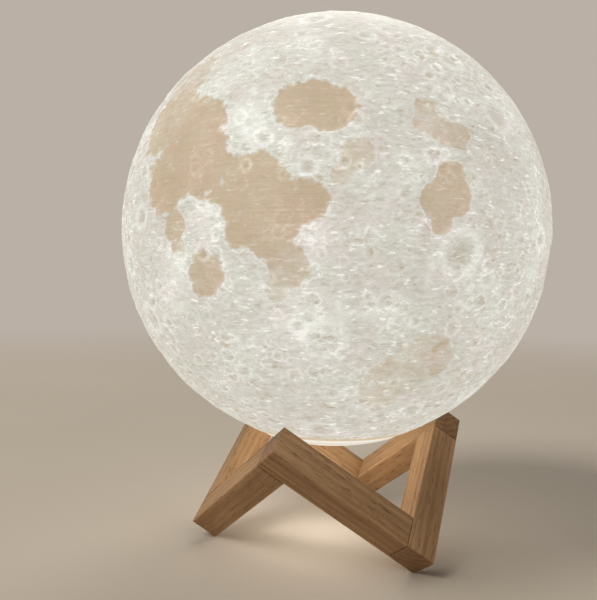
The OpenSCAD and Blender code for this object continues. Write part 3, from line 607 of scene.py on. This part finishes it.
def woodMaterial(nodeName, plan):
    side, rising = barPlan[nodeName]
    turn = barTurn(side, rising)
    middle, half = barSize(nodeName, turn)
    mat, tree, shader = freshMaterial(nodeName + "_wood", 0.5, specular=0.35)
    here = pointFrom(tree, centre=turn @ Vector(middle), turn=turn.inverted().to_euler("XYZ"))
    axes = put(tree, "SeparateXYZ", {"Vector": here})
    seed = 0.37 * (2 * side + (1 if rising else 0)) + 0.13  # metres, so no two bars share a grain
    log = stretched(tree, here, (1, 1, 1), (seed, (11 + 3 * side) * mm, -(7 + 4 * side) * mm))
    # the wave texture has 20 / (2 pi) rings to a length of 1 at scale 1
    wave = {"Vector": stretched(tree, log, (0.15, 1, 1)), "Distortion": plan["ringWave"],
            "Scale": 2 * math.pi / (20 * plan["ringGap"]), "Detail": 3.0, "Detail Scale": 0.8}
    rings = put(tree, "TexWave", wave, wave_type="RINGS", rings_direction="X").outputs["Fac"]
    streak = grain(tree, stretched(tree, log, plan["streak"]), 1.0, 5.0, 0.6, 0.2)
    cloud = grain(tree, stretched(tree, log, plan["cloud"]), 1.0, 2.0)
    fibre = grain(tree, stretched(tree, log, plan["fibre"]), 1.0, 3.0, 0.7)
    fleck = grain(tree, stretched(tree, log, plan["fleck"]), 1.0, 2.0, 0.6)
    pores = fade(tree, fleck, *plan["poreAt"])
    tone = add(tree, swing(tree, streak, plan["streakShare"]), swing(tree, rings, plan["ringShare"]))
    tone = add(tree, tone, swing(tree, cloud, plan["cloudShare"]))
    tone = add(tree, tone, swing(tree, fibre, plan["fibreShare"]))
    tone = add(tree, tone, plan["ground"], clamp=True)
    face = ramp(tree, tone, (0.12, srgb(*plan["deep"])), (0.5, srgb(*plan["mid"])),
                (0.88, srgb(*plan["pale"])))
    face = blend(tree, times(tree, pores, plan["poreShare"]), face, srgb(*plan["pore"]))
    endX = half[0] - plan["endSkin"]
    ends = fade(tree, size(tree, axes.outputs[0]), endX, half[0] - plan["endSkin"] / 2)
    endFace = ramp(tree, tone, (0.2, srgb(*plan["endDark"])), (0.9, srgb(*plan["mid"])))
    colour = blend(tree, times(tree, ends, plan["endShare"]), face, endFace)
    nearY = fade(tree, size(tree, axes.outputs[1]), half[1] - plan["arrisSkin"], half[1])
    nearZ = fade(tree, size(tree, axes.outputs[2]), half[2] - plan["arrisSkin"], half[2])
    # paler along the long edges: wear, and a painted highlight
    wornAndHighlit = times(tree, times(tree, nearY, nearZ), fade(tree, streak, *plan["arrisAt"]))
    colour = blend(tree, times(tree, wornAndHighlit, plan["arrisShare"]), colour, srgb(*plan["arrisWearAndHighlight"]))
    tree.links.new(colour, shader.inputs["Base Color"])
    tree.links.new(fade(tree, fibre, 0.3, 0.7, *plan["roughness"]), shader.inputs["Roughness"])
    height = less(tree, add(tree, fibre, times(tree, streak, 0.5)), pores)
    bump(tree, shader, height, plan["bumpPower"], plan["bumpDepth"])
    return mat


for nodeName in barPlan:
    dress(nodeName, woodMaterial(nodeName, woodPlan))


dowelPlan = dict(dark=(186, 150, 108), pale=(222, 190, 148), roughness=0.65,
                 fibre=(900, 900, 120), depth=0.1 * mm)


def dowelMaterial(look):
    mat, tree, shader = freshMaterial("dowelWood", look["roughness"], specular=0.3)
    here = stretched(tree, pointFrom(tree), look["fibre"])
    colour = ramp(tree, grain(tree, here, 1.0, 4.0), (0.3, srgb(*look["dark"])),
                  (0.7, srgb(*look["pale"])))
    tree.links.new(colour, shader.inputs["Base Color"])
    bump(tree, shader, grain(tree, here, 2.0, 2.0), 0.3, look["depth"])
    return mat


for nodeName in ("apex_dowels", "foot_dowels"):
    dress(nodeName, dowelMaterial(dowelPlan))
print("stand done")

capPlan = dict(
    white=((233, 228, 217), (242, 238, 230)),
    glowPower=0.62, skinShare=0.42, roughness=0.42,
    dimR=7.0 * mm, litR=21.0 * mm,  # painted glow, from dim inside this radius to full outside that one, brighter towards the rim
    dim=(168, 158, 142), lit=(255, 248, 234), litSwing=0.12,
    clouds=45.0, specks=900.0,
)


# the cap is thin white plastic; its emission is a painted glow, brighter towards the metal ring, in
# place of the lamp's light falling on it
def capMaterial(look):
    mat, tree, shader = freshMaterial("capPaintedGlow", look["roughness"], specular=0.4)
    here = pointFrom(tree)
    axes = put(tree, "SeparateXYZ", {"Vector": here})
    flat = put(tree, "CombineXYZ", {0: axes.outputs[0], 1: axes.outputs[1], 2: 0.0}).outputs[0]
    out = put(tree, "VectorMath", {0: flat}, operation="LENGTH").outputs["Value"]
    fine = grain(tree, here, look["specks"], 3.0, 0.6)
    slow = grain(tree, here, look["clouds"], 3.0)
    mixed = add(tree, times(tree, slow, 0.6), times(tree, fine, 0.4))
    white = ramp(tree, mixed, (0.35, srgb(*look["white"][0])), (0.65, srgb(*look["white"][1])))
    skin = blend(tree, 1.0, white, (*[look["skinShare"]] * 3, 1.0), "MULTIPLY")
    tree.links.new(skin, shader.inputs["Base Color"])
    # painted glow: brighter from the middle out towards the rim
    reach = fade(tree, out, look["dimR"], look["litR"])
    reach = add(tree, reach, swing(tree, mixed, look["litSwing"]), clamp=True)
    tree.links.new(ramp(tree, reach, (0.0, srgb(*look["dim"])), (1.0, srgb(*look["lit"]))),
                   shader.inputs["Emission Color"])
    shader.inputs["Emission Strength"].default_value = look["glowPower"]
    bump(tree, shader, fine, 0.25, 0.05 * mm)
    return mat


dress("base_cap", capMaterial(capPlan))

# specks per metre, and their depth in millimetres
mouldPlan = dict(
    ringIvory=dict(dark=(222, 214, 198), pale=(233, 227, 213), roughness=0.5, specks=700.0, depth=0.05),
    towerWhite=dict(dark=(224, 223, 219), pale=(236, 235, 231), roughness=0.45, specks=900.0,
                    depth=0.05),
    socketBlack=dict(dark=(20, 20, 22), pale=(34, 34, 36), roughness=0.45, specks=1500.0, depth=0.04),
    chipBlack=dict(dark=(28, 28, 30), pale=(44, 44, 46), roughness=0.55, specks=2500.0, depth=0.04),
    plugWhite=dict(dark=(220, 216, 204), pale=(234, 230, 220), roughness=0.4, specks=1600.0,
                   depth=0.04),
    foamDark=dict(dark=(24, 24, 27), pale=(58, 58, 62), roughness=0.95, specks=2200.0, depth=0.5),
)


def mouldedMaterial(name, look):
    mat, tree, shader = freshMaterial(name, look["roughness"], specular=0.4)
    here = pointFrom(tree)
    slow = grain(tree, here, 45.0, 3.0)
    fine = grain(tree, here, look["specks"], 3.0, 0.6)
    mixed = add(tree, times(tree, slow, 0.6), times(tree, fine, 0.4))
    colour = ramp(tree, mixed, (0.35, srgb(*look["dark"])), (0.65, srgb(*look["pale"])))
    tree.links.new(colour, shader.inputs["Base Color"])
    bump(tree, shader, fine, 0.25, look["depth"] * mm)
    return mat


for nodeName, look in (("lock_ring", "ringIvory"), ("module_tower", "towerWhite"),
                       ("charge_socket", "socketBlack"), ("control_chips", "chipBlack"),
                       ("battery_plug", "plugWhite"), ("battery_pad", "foamDark")):
    dress(nodeName, mouldedMaterial(look, mouldPlan[look]))


metalPlan = dict(
    ringSteel=dict(dark=(176, 177, 180), pale=(214, 215, 217), roughness=0.3, turned=True),
    contactBrass=dict(dark=(196, 156, 78), pale=(228, 192, 112), roughness=0.28, turned=False),
    screwSteel=dict(dark=(150, 151, 154), pale=(196, 197, 199), roughness=0.35, turned=False),
)


# metal with fine turning lines round the axis, or straight scratches
def brushedMaterial(name, look):
    mat, tree, shader = freshMaterial(name, look["roughness"], metallic=1.0)
    here = pointFrom(tree)
    if look["turned"]:
        axes = put(tree, "SeparateXYZ", {"Vector": here})
        flat = put(tree, "CombineXYZ", {0: axes.outputs[0], 1: axes.outputs[1], 2: 0.0}).outputs[0]
        out = put(tree, "VectorMath", {0: flat}, operation="LENGTH").outputs["Value"]
        lines = put(tree, "TexNoise", {"W": times(tree, out, 9000.0), "Scale": 1.0, "Detail": 3.0},
                    noise_dimensions="1D").outputs["Fac"]
    else:
        lines = grain(tree, stretched(tree, here, (300, 4000, 300)), 1.0, 3.0)
    colour = ramp(tree, lines, (0.3, srgb(*look["dark"])), (0.7, srgb(*look["pale"])))
    tree.links.new(colour, shader.inputs["Base Color"])
    dull = fade(tree, lines, 0.2, 0.8, look["roughness"] - 0.08, look["roughness"] + 0.1)
    tree.links.new(dull, shader.inputs["Roughness"])
    bump(tree, shader, lines, 0.2, 0.03 * mm)
    return mat


for nodeName, look in (("touch_ring", "ringSteel"), ("touch_contact", "contactBrass"),
                       ("board_screws", "screwSteel"), ("led_screws", "screwSteel")):
    dress(nodeName, brushedMaterial(look, metalPlan[look]))

boardPlan = dict(
    boardGreen=dict(mask=(10, 66, 34), track=(26, 96, 52), pad=(196, 176, 110)),
    boardWhite=dict(mask=(232, 232, 228), track=(218, 218, 212), pad=(190, 188, 180)),
)


# solder mask with tracks under it and bare pads
def boardMaterial(name, look):
    mat, tree, shader = freshMaterial(name, 0.35)
    flat = stretched(tree, pointFrom(tree), (1, 1, 0))
    tracks = put(tree, "TexBrick", {"Vector": flat, "Scale": 420.0, "Mortar Size": 0.03,
                                    "Mortar Smooth": 0.2, "Brick Width": 0.9, "Row Height": 0.35},
                 offset=0.37).outputs["Fac"]
    dots = put(tree, "TexVoronoi", {"Vector": flat, "Scale": 380.0}, feature="F1").outputs["Distance"]
    pads = fade(tree, dots, 0.16, 0.12)
    ground = ramp(tree, tracks, (0.2, srgb(*look["mask"])), (0.8, srgb(*look["track"])))
    tree.links.new(blend(tree, pads, ground, srgb(*look["pad"])), shader.inputs["Base Color"])
    tree.links.new(fade(tree, pads, 0, 1, 0.4, 0.25), shader.inputs["Roughness"])
    bump(tree, shader, add(tree, tracks, pads), 0.2, 0.04 * mm)
    return mat


for nodeName, look in (("control_board", "boardGreen"), ("led_board", "boardWhite")):
    dress(nodeName, boardMaterial(look, boardPlan[look]))

cellPlan = dict(dark=(150, 156, 166), pale=(188, 194, 203), roughness=0.34, metallic=0.75,
                folds=(160, 60, 300), depth=0.15 * mm)


def cellMaterial(look):
    mat, tree, shader = freshMaterial("cellFoil", look["roughness"], metallic=look["metallic"])
    folds = grain(tree, stretched(tree, pointFrom(tree), look["folds"]), 1.0, 4.0, 0.6, 0.6)
    colour = ramp(tree, folds, (0.3, srgb(*look["dark"])), (0.7, srgb(*look["pale"])))
    tree.links.new(colour, shader.inputs["Base Color"])
    bump(tree, shader, folds, 0.4, look["depth"])
    return mat


dress("battery", cellMaterial(cellPlan))

leadPlan = dict(
    cellLeads=dict(splitAt=0.0, first=(26, 26, 28), second=(158, 28, 24)),
    lampLeads=dict(splitAt=-0.5 * mm, first=(26, 26, 28), second=(168, 34, 28)),
)


# insulation in two colours, parted at a place along Y
def leadMaterial(name, look, paler=18):
    mat, tree, shader = freshMaterial(name, 0.5)
    here = pointFrom(tree)
    y = put(tree, "SeparateXYZ", {"Vector": here}).outputs[1]
    side = fade(tree, y, look["splitAt"] - 0.05 * mm, look["splitAt"] + 0.05 * mm)
    rub = grain(tree, here, 1800.0, 2.0)
    first = look["first"]
    second = look["second"]
    one = ramp(tree, rub, (0.3, srgb(*first)), (0.7, srgb(*[c + paler for c in first])))
    two = ramp(tree, rub, (0.3, srgb(*second)), (0.7, srgb(*[c + paler for c in second])))
    tree.links.new(blend(tree, side, one, two), shader.inputs["Base Color"])
    bump(tree, shader, rub, 0.2, 0.05 * mm)
    return mat


for nodeName, look in (("battery_leads", "cellLeads"), ("led_leads", "lampLeads")):
    dress(nodeName, leadMaterial(look, leadPlan[look]))

gelPlan = dict(
    warmGel=dict(dark=(244, 190, 96), pale=(252, 212, 130), power=0.8),
    coolGel=dict(dark=(246, 232, 170), pale=(253, 246, 214), power=0.8),
)


# the cloudy glowing gel of the small lamps
def gelMaterial(name, look):
    mat, tree, shader = freshMaterial(name, 0.3)
    cloud = grain(tree, pointFrom(tree), 900.0, 3.0)
    colour = ramp(tree, cloud, (0.3, srgb(*look["dark"])), (0.7, srgb(*look["pale"])))
    tree.links.new(colour, shader.inputs["Base Color"])
    tree.links.new(colour, shader.inputs["Emission Color"])
    shader.inputs["Emission Strength"].default_value = look["power"]
    bump(tree, shader, cloud, 0.2, 0.05 * mm)
    return mat


for nodeName, look in (("warm_leds", "warmGel"), ("cool_leds", "coolGel")):
    dress(nodeName, gelMaterial(look, gelPlan[look]))

pipePlan = dict(dark=(206, 226, 222), pale=(232, 244, 240), roughness=0.12, clear=0.6, ior=1.49)


def pipeMaterial(look):
    mat, tree, shader = freshMaterial("lightPipe", look["roughness"])
    shader.inputs["Transmission Weight"].default_value = look["clear"]
    shader.inputs["IOR"].default_value = look["ior"]
    haze = grain(tree, pointFrom(tree), 1200.0, 2.0)
    colour = ramp(tree, haze, (0.3, srgb(*look["dark"])), (0.7, srgb(*look["pale"])))
    tree.links.new(colour, shader.inputs["Base Color"])
    bump(tree, shader, haze, 0.15, 0.04 * mm)
    return mat


dress("charge_light", pipeMaterial(pipePlan))
print("finishes done")

stagePlan = dict(
    floorSize=16.0, floorTone=(190, 178, 162), floorPaler=3, floorGrain=6.0,
    backTone=(186, 176, 165),
    blendFrom=0.30, blendTo=1.5,  # the floor melts into the backdrop between these distances
    skyTone=(0.95, 0.94, 0.92), skyPower=0.14,
    aim=(0, 0, 0.06),  # the lamps point here
    lamps=[  # name, place, width, level that it gives where it points, colour
        ("keyLight", (-1.3, -1.5, 2.3), 1.3, 0.58, (1.0, 0.98, 0.95)),
        ("fillLight", (2.2, -1.2, 1.4), 1.6, 0.08, (1.0, 0.99, 0.98)),
        ("backLight", (-0.6, 1.9, 2.4), 1.6, 0.32, (1.0, 0.99, 0.97)),
    ],
    shine=dict(place=(0, 0, 0.028), radius=0.008, power=0.029, colour=(1.0, 0.98, 0.93)),
)


# 1 where the camera looks straight at a thing, or sees it in metal or through glass
def seenDirectly(tree):
    path = put(tree, "LightPath")
    either = add(tree, path.outputs["Is Camera Ray"], path.outputs["Is Glossy Ray"], clamp=True)
    return add(tree, either, path.outputs["Is Transmission Ray"], clamp=True)


def makeFloor(plan):
    bm = bmesh.new()
    bmesh.ops.create_grid(bm, x_segments=2, y_segments=2, size=plan["floorSize"] / 2)
    mesh = bpy.data.meshes.new("floor")
    bm.to_mesh(mesh)
    bm.free()
    floor = bpy.data.objects.new("floor", mesh)
    bpy.context.scene.collection.objects.link(floor)
    mat, tree, shader = freshMaterial("floorPale", 0.85, specular=0.15)
    here = pointFrom(tree)
    tone = grain(tree, here, plan["floorGrain"], 2.0)
    plain = srgb(*plan["floorTone"])
    paler = srgb(*[c + plan["floorPaler"] for c in plan["floorTone"]])
    tree.links.new(ramp(tree, tone, (0.3, plain), (0.7, paler)), shader.inputs["Base Color"])
    out = put(tree, "VectorMath", {0: here}, operation="LENGTH").outputs["Value"]
    span = {"Value": out, "From Min": plan["blendFrom"], "From Max": plan["blendTo"]}
    far = put(tree, "MapRange", span, interpolation_type="SMOOTHSTEP").outputs["Result"]
    backdrop = put(tree, "Emission", {"Color": srgb(*plan["backTone"])}).outputs[0]
    share = times(tree, far, seenDirectly(tree))
    mixed = put(tree, "MixShader", {0: share, 1: shader.outputs[0], 2: backdrop}).outputs[0]
    tree.links.new(mixed, tree.nodes["Material Output"].inputs["Surface"])
    floor.data.materials.append(mat)


# a disk lamp with a level of 1 turns a white face at its aim white
def makeLamp(aim, name, spot, width, level, colour):
    away = Vector(aim) - Vector(spot)
    data = bpy.data.lights.new(name, "AREA")
    data.shape = "DISK"
    data.size = width
    data.energy = level * math.pi ** 2 * away.length_squared
    data.color = colour
    lamp = bpy.data.objects.new(name, data)
    bpy.context.scene.collection.objects.link(lamp)
    lamp.location = spot
    lamp.rotation_euler = away.to_track_quat("-Z", "Y").to_euler()


# the moon's own light on the stand and the floor under it, more than its pale skin can give
def makeShine(plan):
    data = bpy.data.lights.new("moonShine", "POINT")
    data.energy = plan["power"]
    data.color = plan["colour"]
    data.shadow_soft_size = plan["radius"]
    lamp = bpy.data.objects.new("moonShine", data)
    bpy.context.scene.collection.objects.link(lamp)
    lamp.location = plan["place"]
    lamp.visible_camera = False
    lamp.visible_glossy = False


def makeSky(plan):
    world = bpy.data.worlds.new("sky")
    bpy.context.scene.world = world
    world.use_nodes = True
    tree = world.node_tree
    back = tree.nodes["Background"]
    seen = seenDirectly(tree)
    colour = blend(tree, seen, (*plan["skyTone"], 1), srgb(*plan["backTone"]))
    tree.links.new(colour, back.inputs["Color"])
    tree.links.new(fade(tree, seen, 0, 1, plan["skyPower"], 1.0), back.inputs["Strength"])


makeFloor(stagePlan)
makeSky(stagePlan)
for lampPlan in stagePlan["lamps"]:
    makeLamp(stagePlan["aim"], *lampPlan)
makeShine(stagePlan["shine"])
bpy.context.scene.view_settings.view_transform = "Standard"
print("stage done")
